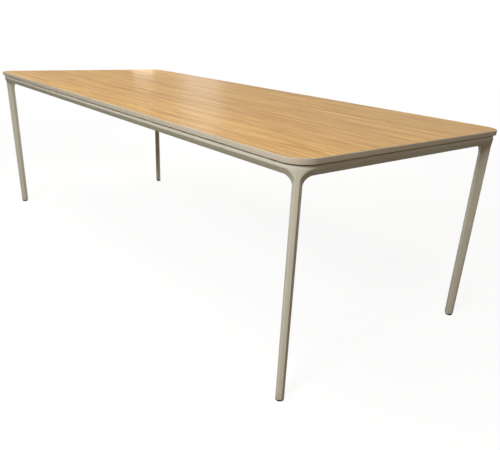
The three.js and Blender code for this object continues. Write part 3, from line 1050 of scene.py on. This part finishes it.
long_half = rail_high.x
end_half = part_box("right_end_rail")[1].y
make_rail("front_rail", lambda x, b, z: (x, b - WIDTH / 2, z), long_half)
make_rail("back_rail", lambda x, b, z: (x, WIDTH / 2 - b, z), long_half)
make_rail("right_end_rail", lambda x, b, z: (LENGTH / 2 - b, x, z), end_half)
make_rail("left_end_rail", lambda x, b, z: (b - LENGTH / 2, x, z), end_half)

# %% [markdown]
# ## Levelling feet
# A foot is a nylon pad on a threaded stud that screws into a brass insert in the leg. With the foot
# screwed in only the pad shows. With it screwed out the thread can be seen, so the thread is real: its
# radius rises and falls along a helix.

# %% Turned shapes
BEND_STEPS = 4


def turned_rows(profile, centre, steps):
    """Rows round an upright axis, one for each radius and height of a profile."""
    rows = []
    for radius, z in profile:
        angles = [2 * math.pi * step / steps for step in range(steps)]
        ring = [(centre.x + radius * math.cos(t), centre.y + radius * math.sin(t), z) for t in angles]
        rows.append(ring)
    return rows


def soft_corners(profile, softness):
    """A profile with each of its inner corners bent softly."""
    points = [np.array(point) for point in profile]
    soft = [points[0]]
    for before, here, after in zip(points, points[1:], points[2:]):
        soft += arc(towards(here, before, softness), here, towards(here, after, softness), BEND_STEPS)
    return soft + [points[-1]]


print("turned shapes ready")

# %% Pads and inserts
ROUND_STEPS = 56
PAD_BEVEL = 0.6 * MM
PAD_FLOOR = 1.5 * MM
PAD_FUNNEL = 1.6 * MM
FUNNEL_DEPTH = 0.6 * MM
INSERT_CHAMFER = 0.5 * MM


def make_pad(corner):
    low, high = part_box(f"foot_pad_{corner}")
    centre = (low + high) / 2
    radius = (high.x - low.x) / 2
    profile = [
        (0.0, low.z),
        (radius - PAD_BEVEL, low.z),
        (radius, low.z + PAD_BEVEL),
        (radius, high.z - PAD_BEVEL),
        (radius - PAD_BEVEL, high.z),
        (STUD_BORE + PAD_FUNNEL, high.z),
        (STUD_BORE, high.z - FUNNEL_DEPTH),
        (STUD_BORE, low.z + PAD_FLOOR),
        (0.0, low.z + PAD_FLOOR),
    ]
    soft = soft_corners(profile, PAD_BEVEL / 3)
    mesh = bmesh.new()
    add_sheet(mesh, turned_rows(soft, centre, ROUND_STEPS), close=True)
    nodes = [f"foot_pad_{corner}"]
    finish_piece(f"nylon_foot_{corner}", mesh, NYLON, f"foot_{corner}", nodes)


def make_insert(corner):
    low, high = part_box(f"threaded_insert_{corner}")
    centre = (low + high) / 2
    radius = (high.x - low.x) / 2
    profile = [
        (STUD_BORE + INSERT_CHAMFER, low.z),
        (radius - INSERT_CHAMFER, low.z),
        (radius, low.z + INSERT_CHAMFER),
        (radius, high.z),
        (STUD_BORE, high.z),
        (STUD_BORE, low.z + INSERT_CHAMFER),
        (STUD_BORE + INSERT_CHAMFER, low.z),
    ]
    mesh = bmesh.new()
    add_sheet(mesh, turned_rows(profile, centre, ROUND_STEPS), close=True)
    finish_piece(f"brass_insert_{corner}", mesh, BRASS, "table", [f"threaded_insert_{corner}"])


print("pad bevel", round(PAD_BEVEL / MM, 1), "mm")

# %% Studs and the four feet
PITCH = 1.25 * MM
THREAD_DEPTH = 0.7 * MM
THREAD_STEPS = 28
ROWS_PER_TURN = 8
CREST_FLAT = 0.1
FLANK_SHARE = 0.75


def thread_radius(z, angle, low, high, crest):
    """The radius of a right-hand thread at a height and angle, tapered at both ends."""
    phase = (z / PITCH - angle / (2 * math.pi)) % 1.0
    flank = abs(2 * phase - 1)
    radius = crest - THREAD_DEPTH * min(max((flank - CREST_FLAT) / FLANK_SHARE, 0.0), 1.0)
    return min(radius, crest - THREAD_DEPTH + z - low, crest - THREAD_DEPTH + high - z)


def make_stud(corner):
    low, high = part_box(f"levelling_stud_{corner}")
    centre = (low + high) / 2
    crest = (high.x - low.x) / 2
    count = round((high.z - low.z) / PITCH * ROWS_PER_TURN)
    rows = [[(centre.x, centre.y, low.z)] * THREAD_STEPS]
    for row in range(count + 1):
        z = mix(low.z, high.z, row / count)
        ring = []
        for step in range(THREAD_STEPS):
            angle = 2 * math.pi * step / THREAD_STEPS
            radius = thread_radius(z, angle, low.z, high.z, crest)
            ring.append((centre.x + radius * math.cos(angle), centre.y + radius * math.sin(angle), z))
        rows.append(ring)
    rows.append([(centre.x, centre.y, high.z)] * THREAD_STEPS)
    mesh = bmesh.new()
    add_sheet(mesh, rows, close=True)
    nodes = [f"levelling_stud_{corner}"]
    finish_piece(f"threaded_stud_{corner}", mesh, ZINC, f"stud_{corner}", nodes)


for corner in CORNERS:
    make_pad(corner)
    make_insert(corner)
    make_stud(corner)

# %% [markdown]
# ## Cross beams and brackets
# Two steel tubes stiffen the top between the long rails. Each end lies on an angle bracket that is bolted
# to the rail. Drawn tube has rounded corners, and a folded bracket has a round bend.

# %% Beams and brackets
BEAM_CORNER = 3 * MM
BEAM_WALL = 2 * MM
BEAM_STEPS = 5
BRACKET_THICKNESS = 3 * MM
BRACKET_SOFT = 1.4 * MM


def round_rectangle(half_x, low_z, high_z, radius):
    loop = []
    centres = [(1, high_z - radius), (-1, high_z - radius), (-1, low_z + radius), (1, low_z + radius)]
    for quarter, (side, z) in enumerate(centres):
        for step in range(BEAM_STEPS + 1):
            angle = (quarter + step / BEAM_STEPS) * RIGHT_ANGLE
            x = side * (half_x - radius) + radius * math.cos(angle)
            loop.append((x, z + radius * math.sin(angle)))
    return loop


def make_beam(node):
    low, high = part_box(node)
    middle = (low.x + high.x) / 2
    half = (high.x - low.x) / 2
    outer = round_rectangle(half, low.z, high.z, BEAM_CORNER)
    inner_corner = BEAM_CORNER - BEAM_WALL
    inner = round_rectangle(half - BEAM_WALL, low.z + BEAM_WALL, high.z - BEAM_WALL, inner_corner)
    mesh = bmesh.new()
    for loop in (outer, inner):
        ends = [[(middle + x, y, z) for x, z in loop] for y in (low.y, high.y)]
        add_sheet(mesh, ends, close=True)
    for y in (low.y, high.y):
        rings = [[(middle + x, y, z) for x, z in loop] for loop in (outer, inner)]
        add_ring(mesh, *rings)
    finish_piece(f"steel_{node}", mesh, COAT, "table", [node])


def make_bracket(node):
    low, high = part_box(node)
    side = -1 if low.y < 0 else 1
    wall_y = low.y if side < 0 else high.y
    shelf = high.y - low.y
    profile = [
        (0.0, high.z),
        (0.0, low.z),
        (shelf, low.z),
        (shelf, low.z + BRACKET_THICKNESS),
        (BRACKET_THICKNESS, low.z + BRACKET_THICKNESS),
        (BRACKET_THICKNESS, high.z),
        (0.0, high.z),
    ]
    loop = soft_corners(profile, BRACKET_SOFT)[:-1]
    mesh = bmesh.new()
    ends = [[(x, wall_y - side * y, z) for y, z in loop] for x in (low.x, high.x)]
    add_sheet(mesh, ends, close=True)
    for end in ends:
        add_face(mesh, end)
    finish_piece(f"steel_{node}", mesh, COAT, "table", [node])


for node in ("cross_beam_left", "cross_beam_right"):
    make_beam(node)
for rail in ("front", "back"):
    for number in (1, 2):
        make_bracket(f"beam_bracket_{rail}_{number}")

# %% [markdown]
# ## Screws
# The screws are of three sizes, and each size repeats, so one Geometry Nodes tree makes them all. The seed
# is a mesh of bare points, one where each head sits, with the way that the head faces kept as an attribute.
# The tree makes one button-head screw with a hexagon socket from its named sizes: a dome with a shank that
# grows out of it, cut by a hexagon. Then it sets a copy on every point.

# %% Screw tree
DOME_SEGMENTS = 32
DOME_RINGS = 15
SHANK_SIDES = 24
ROOT_SHARE = 0.25
BLOCK_SHARE = 4.0
SOCKET_SIDES = 6
SOCKET_TURN = math.radians(10)


def screw_tree():
    """A tree that makes one screw and sets a copy of it on every point of the seed."""
    names = ["Head radius", "Head height", "Shank radius", "Shank length", "Socket radius", "Socket depth"]
    tree, sizes = new_tree("button_screw_tree", names)
    points = sizes["Geometry"]
    cut = {"operation": "DIFFERENCE"}
    across = sizes["Head radius"]
    high = sizes["Head height"]
    ball_sizes = {"Segments": DOME_SEGMENTS, "Rings": DOME_RINGS, "Radius": 1.0}
    ball = points.node("GeometryNodeMeshUVSphere", {}, ball_sizes)
    dome_scale = points.node("ShaderNodeCombineXYZ", {}, {"X": across, "Y": across, "Z": high})
    dome = points.node("GeometryNodeTransform", {}, {"Geometry": ball, "Scale": dome_scale})
    edge = across * BLOCK_SHARE
    block_scale = points.node("ShaderNodeCombineXYZ", {}, {"X": edge, "Y": edge, "Z": edge})
    block_drop = points.node("ShaderNodeCombineXYZ", {}, {"Z": edge * -0.5})
    cube = points.node("GeometryNodeMeshCube", {}, {"Size": block_scale})
    block = points.node("GeometryNodeTransform", {}, {"Geometry": cube, "Translation": block_drop})
    head = points.node("GeometryNodeMeshBoolean", cut, {"Mesh 1": dome, "Mesh 2": block})
    root = high * ROOT_SHARE
    rod_length = sizes["Shank length"] + root
    rod_sizes = {"Vertices": SHANK_SIDES, "Radius": sizes["Shank radius"], "Depth": rod_length}
    rod = points.node("GeometryNodeMeshCylinder", {}, rod_sizes)
    rod_drop = points.node("ShaderNodeCombineXYZ", {}, {"Z": root - rod_length * 0.5})
    shank = points.node("GeometryNodeTransform", {}, {"Geometry": rod, "Translation": rod_drop})
    # A union takes all its shapes at the second input.
    blank = points.node("GeometryNodeMeshBoolean", {"operation": "UNION"}, {"Mesh 2": head})
    tree.links.new(shank.socket, blank.socket.node.inputs["Mesh 2"])
    hexagon_sizes = {"Vertices": SOCKET_SIDES, "Radius": sizes["Socket radius"], "Depth": high * 2.0}
    hexagon = points.node("GeometryNodeMeshCylinder", {}, hexagon_sizes)
    socket_lift = points.node("ShaderNodeCombineXYZ", {}, {"Z": high * 2.0 - sizes["Socket depth"]})
    socket_place = {"Geometry": hexagon, "Translation": socket_lift, "Rotation": (0, 0, SOCKET_TURN)}
    key_hole = points.node("GeometryNodeTransform", {}, socket_place)
    screw = points.node("GeometryNodeMeshBoolean", cut, {"Mesh 1": blank, "Mesh 2": key_hole})
    vector = {"data_type": "FLOAT_VECTOR"}
    facing = points.node("GeometryNodeInputNamedAttribute", vector, {"Name": "facing"})
    turn = points.node("FunctionNodeAlignRotationToVector", {"axis": "Z"}, {"Vector": facing})
    spots = points.node("GeometryNodeMeshToPoints", {}, {"Mesh": points})
    setting = {"Points": spots, "Instance": screw, "Rotation": turn}
    copies = points.node("GeometryNodeInstanceOnPoints", {}, setting)
    close_tree(tree, copies, ZINC)
    return tree


SCREWS = screw_tree()
print("screw tree with", len(SCREWS.nodes), "nodes")

# %% Sets of screws


def head_seat(node, facing, head_height):
    """The middle of a screw head's seat, from the screw's box and the way its head faces."""
    low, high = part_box(node)
    seat = (low + high) / 2
    axis = max(range(3), key=lambda i: abs(facing[i]))
    seat[axis] = (high if facing[axis] > 0 else low)[axis] - facing[axis] * head_height
    return seat


def make_screws(name, wanted, sizes):
    """One mesh with a screw for each wanted node, which are (node, way that the head faces)."""
    seed = bpy.data.meshes.new(name)
    seats = [head_seat(node, facing, sizes["Head height"]) for node, facing in wanted]
    seed.from_pydata(seats, [], [])
    ways_out = seed.attributes.new("facing", "FLOAT_VECTOR", "POINT")
    ways_out.data.foreach_set("vector", [value for _, facing in wanted for value in facing])
    data = grown(name, SCREWS, sizes, seed)
    settle(name, data, "table", [node for node, _ in wanted])


DOWN = (0.0, 0.0, -1.0)
INWARD = {
    "front": (0.0, 1.0, 0.0),
    "right_end": (-1.0, 0.0, 0.0),
    "back": (0.0, -1.0, 0.0),
    "left_end": (1.0, 0.0, 0.0),
}
wall_screw = {
    "Head radius": 4.5 * MM,
    "Head height": 2.8 * MM,
    "Shank radius": 2.5 * MM,
    "Shank length": 12 * MM,
    "Socket radius": 1.75 * MM,
    "Socket depth": 1.8 * MM,
}
board_screw = {
    "Head radius": 4 * MM,
    "Head height": 2.2 * MM,
    "Shank radius": 2 * MM,
    "Shank length": 13 * MM,
    "Socket radius": 1.45 * MM,
    "Socket depth": 1.4 * MM,
}
beam_screw = dict(board_screw, **{"Shank length": 8 * MM})
names = sorted(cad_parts)
wall_nodes = [(n, INWARD[n.split("_leg_screw")[0]]) for n in names if "leg_screw" in n]
bolt_nodes = [(n, INWARD[n.split("_")[2]]) for n in names if n.startswith("bracket_bolt")]
make_screws("leg_screws", wall_nodes, wall_screw)
make_screws("bracket_bolts", bolt_nodes, wall_screw)
make_screws("top_screws", [(n, DOWN) for n in names if "top_screw" in n], board_screw)
make_screws("beam_screws", [(n, DOWN) for n in names if n.startswith("beam_screw")], beam_screw)

# %% [markdown]
# ## Floor and light
# The photograph was cut out on white, so the floor is pale and the world is white to the camera. The light
# itself is plain. A soft lamp stands near the camera, high enough for the top to throw a shadow on the rail
# under it, with a weak one to its left. A wide lamp hangs overhead. A narrow far lamp is the bright band in
# the lacquer, a low back lamp lights the far legs from behind, and two small lamps make the glow on the far
# corner. The sky is weak, so the right-hand end of the table is in shade.

# %% Rays that are seen
WHITE = (1, 1, 1, 1)


def seen_rays(tree, mirrored_share):
    """1 for rays that the camera sees, a share for mirrored ones and 0 for those that carry light."""
    rays = tree.nodes.new("ShaderNodeLightPath").outputs
    straight = Wire(tree, rays["Is Camera Ray"]) + Wire(tree, rays["Is Transmission Ray"])
    return straight + Wire(tree, rays["Is Glossy Ray"]) * mirrored_share


print("rays told apart")

# %% Floor
FLOOR_REACH = 30.0
CLEAR_FLOOR = 1.6
WHITE_FLOOR = 5.0
FAINT_GREY = (0.14, 0.14, 0.14, 1)
FLOOR_GLOW = 0.9
FLOOR_SHINE = 0.2
WHITE_BEHIND = (-0.1, 0.5)
WHITE_LEFT_OF = (0.8, 0.2)
FLOOR_BOUNCE = (0.24, 0.207, 0.155, 1)


def pale_floor():
    """A floor that is white far away and keeps a faint shadow near the table.

    Light bounces off it as off a dull carpet. Reflections see it dim, but white behind the table's left.
    """
    corners = [(x * FLOOR_REACH, y * FLOOR_REACH, 0) for x, y in ((-1, -1), (1, -1), (1, 1), (-1, 1))]
    data = bpy.data.meshes.new("floor")
    data.from_pydata(corners, [], [(0, 1, 2, 3)])
    floor = bpy.data.objects.new("floor", data)
    bpy.context.scene.collection.objects.link(floor)
    material = bpy.data.materials.new("pale_floor")
    material.use_nodes = True
    tree = material.node_tree
    tree.nodes.clear()
    place = Wire(tree, tree.nodes.new("ShaderNodeTexCoord").outputs["Object"])
    away = place.node("ShaderNodeVectorMath", {"operation": "LENGTH"}, {0: place}, "Value")
    faint = place.node("ShaderNodeBsdfDiffuse", {}, {"Color": FAINT_GREY})
    glow = place.node("ShaderNodeEmission", {}, {"Color": WHITE, "Strength": FLOOR_GLOW})
    near = place.node("ShaderNodeAddShader", {}, {0: faint, 1: glow})
    white = place.node("ShaderNodeEmission", {}, {"Color": WHITE, "Strength": 1.0})
    fade = away.between(CLEAR_FLOOR, WHITE_FLOOR)
    seen = place.node("ShaderNodeMixShader", {}, {"Fac": fade, 1: near, 2: white})
    bounce = place.node("ShaderNodeBsdfDiffuse", {}, {"Color": FLOOR_BOUNCE})
    right = place.node("ShaderNodeSeparateXYZ", {}, {"Vector": place}, "X")
    back = place.node("ShaderNodeSeparateXYZ", {}, {"Vector": place}, "Y")
    behind_left = back.between(*WHITE_BEHIND) * right.between(*WHITE_LEFT_OF)
    shine = FLOOR_SHINE + behind_left * (1 - FLOOR_SHINE)
    whole = place.node("ShaderNodeMixShader", {}, {"Fac": seen_rays(tree, shine), 1: bounce, 2: seen})
    output = tree.nodes.new("ShaderNodeOutputMaterial")
    tree.links.new(whole.socket, output.inputs["Surface"])
    data.materials.append(material)


pale_floor()
print("floor laid")

# %% World
WALL_RISE = (0.06, 0.16)
FAR_SIDE = (0.45, 0.8)
FAR_DIMMING = 0.95
SHADED_SIDE = (-0.1, 0.7)
GLOW_BEHIND = (0.3, 0.95)
GLOW_BELOW = (0.5, 0.1)
SKY = (0.18, 0.163, 0.135, 1)
SHADED_SKY = (0.155, 0.093, 0.028, 1)
LOW_BACK_SKY = (0.65, 0.6, 0.52, 1)


def studio_world():
    """White to the camera and in reflections, apart from a far side that is dim above a low wall.

    The light that it gives is a weak sky, warmer and dimmer at the right and bright low at the back.
    """
    world = bpy.data.worlds.new("studio")
    world.use_nodes = True
    bpy.context.scene.world = world
    tree = world.node_tree
    tree.nodes.clear()
    way = Wire(tree, tree.nodes.new("ShaderNodeTexCoord").outputs["Generated"])
    right = way.node("ShaderNodeSeparateXYZ", {}, {"Vector": way}, "X")
    back = way.node("ShaderNodeSeparateXYZ", {}, {"Vector": way}, "Y")
    rise = way.node("ShaderNodeSeparateXYZ", {}, {"Vector": way}, "Z")
    far_side = (back * 0.85 - right * 0.53).between(*FAR_SIDE)
    seen = seen_rays(tree, 1 - rise.between(*WALL_RISE) * far_side * FAR_DIMMING)
    shade = (right * 0.95 - back * 0.3).between(*SHADED_SIDE)
    sky_colour = shade.tint(SKY, SHADED_SKY)
    glow = back.between(*GLOW_BEHIND) * rise.between(*GLOW_BELOW)
    sky_colour = glow.tint(sky_colour, LOW_BACK_SKY)
    sky = seen.node("ShaderNodeBackground", {}, {"Color": sky_colour, "Strength": 1.0})
    white = seen.node("ShaderNodeBackground", {}, {"Color": WHITE, "Strength": 1.0})
    both = seen.node("ShaderNodeMixShader", {}, {"Fac": seen, 1: sky, 2: white})
    output = tree.nodes.new("ShaderNodeOutputWorld")
    tree.links.new(both.socket, output.inputs["Surface"])


studio_world()
print("world made")

# %% Lamps


def soft_lamp(name, place, aim_at, size, power, colour, mirrored):
    """An area lamp that is aimed at a place. A mirrored one is seen in reflections."""
    data = bpy.data.lights.new(name, "AREA")
    data.shape = "RECTANGLE"
    data.size, data.size_y = size
    data.energy = power
    data.color = colour
    lamp = bpy.data.objects.new(name, data)
    lamp.location = place
    lamp.rotation_euler = (Vector(aim_at) - Vector(place)).to_track_quat("-Z", "Y").to_euler()
    lamp.visible_camera = False
    lamp.visible_glossy = mirrored
    bpy.context.scene.collection.objects.link(lamp)


NEUTRAL = (1.0, 1.0, 1.0)
COOL = (0.98, 0.99, 1.0)
# From the faintest warm white to the strongest.
WARM = [(1.0, 0.99, 0.97), (1.0, 0.98, 0.95), (1.0, 0.97, 0.92), (1.0, 0.95, 0.88)]
# Name, place, aim, size in metres, power in watts, colour and whether reflections show it.
LAMPS = [
    ("near_lamp", (1.92, -3.25, 2.75), (0.8, -0.3, 0.5), (1.2, 1.0), 103, COOL, False),
    ("left_lamp", (0.0, -4.6, 2.6), (0.8, -0.4, 0.5), (1.4, 1.4), 11, NEUTRAL, False),
    ("ceiling_lamp", (-0.5, -1.2, 3.6), (-0.4, -0.4, 0.7), (2.4, 1.6), 47, WARM[0], True),
    ("far_lamp", (-4.0, 2.75, 1.6), (0.2, -0.1, 0.75), (0.5, 1.6), 2.2, NEUTRAL, True),
    ("back_lamp", (-2.2, 2.6, 0.4), (-1.1, -0.4, 0.4), (1.6, 0.5), 42, WARM[1], False),
    ("corner_lamp", (-1.55, 0.7, 1.2), (-1.0, 0.3, 0.745), (0.4, 0.4), 3.2, WARM[2], False),
    ("window_lamp", (-1.47, 0.535, 0.83), (-1.03, 0.3, 0.745), (0.13, 0.18), 0.08, WARM[3], True),
]
for lamp in LAMPS:
    soft_lamp(*lamp)
bpy.context.scene.view_settings.view_transform = "Standard"
print(len(LAMPS), "lamps")
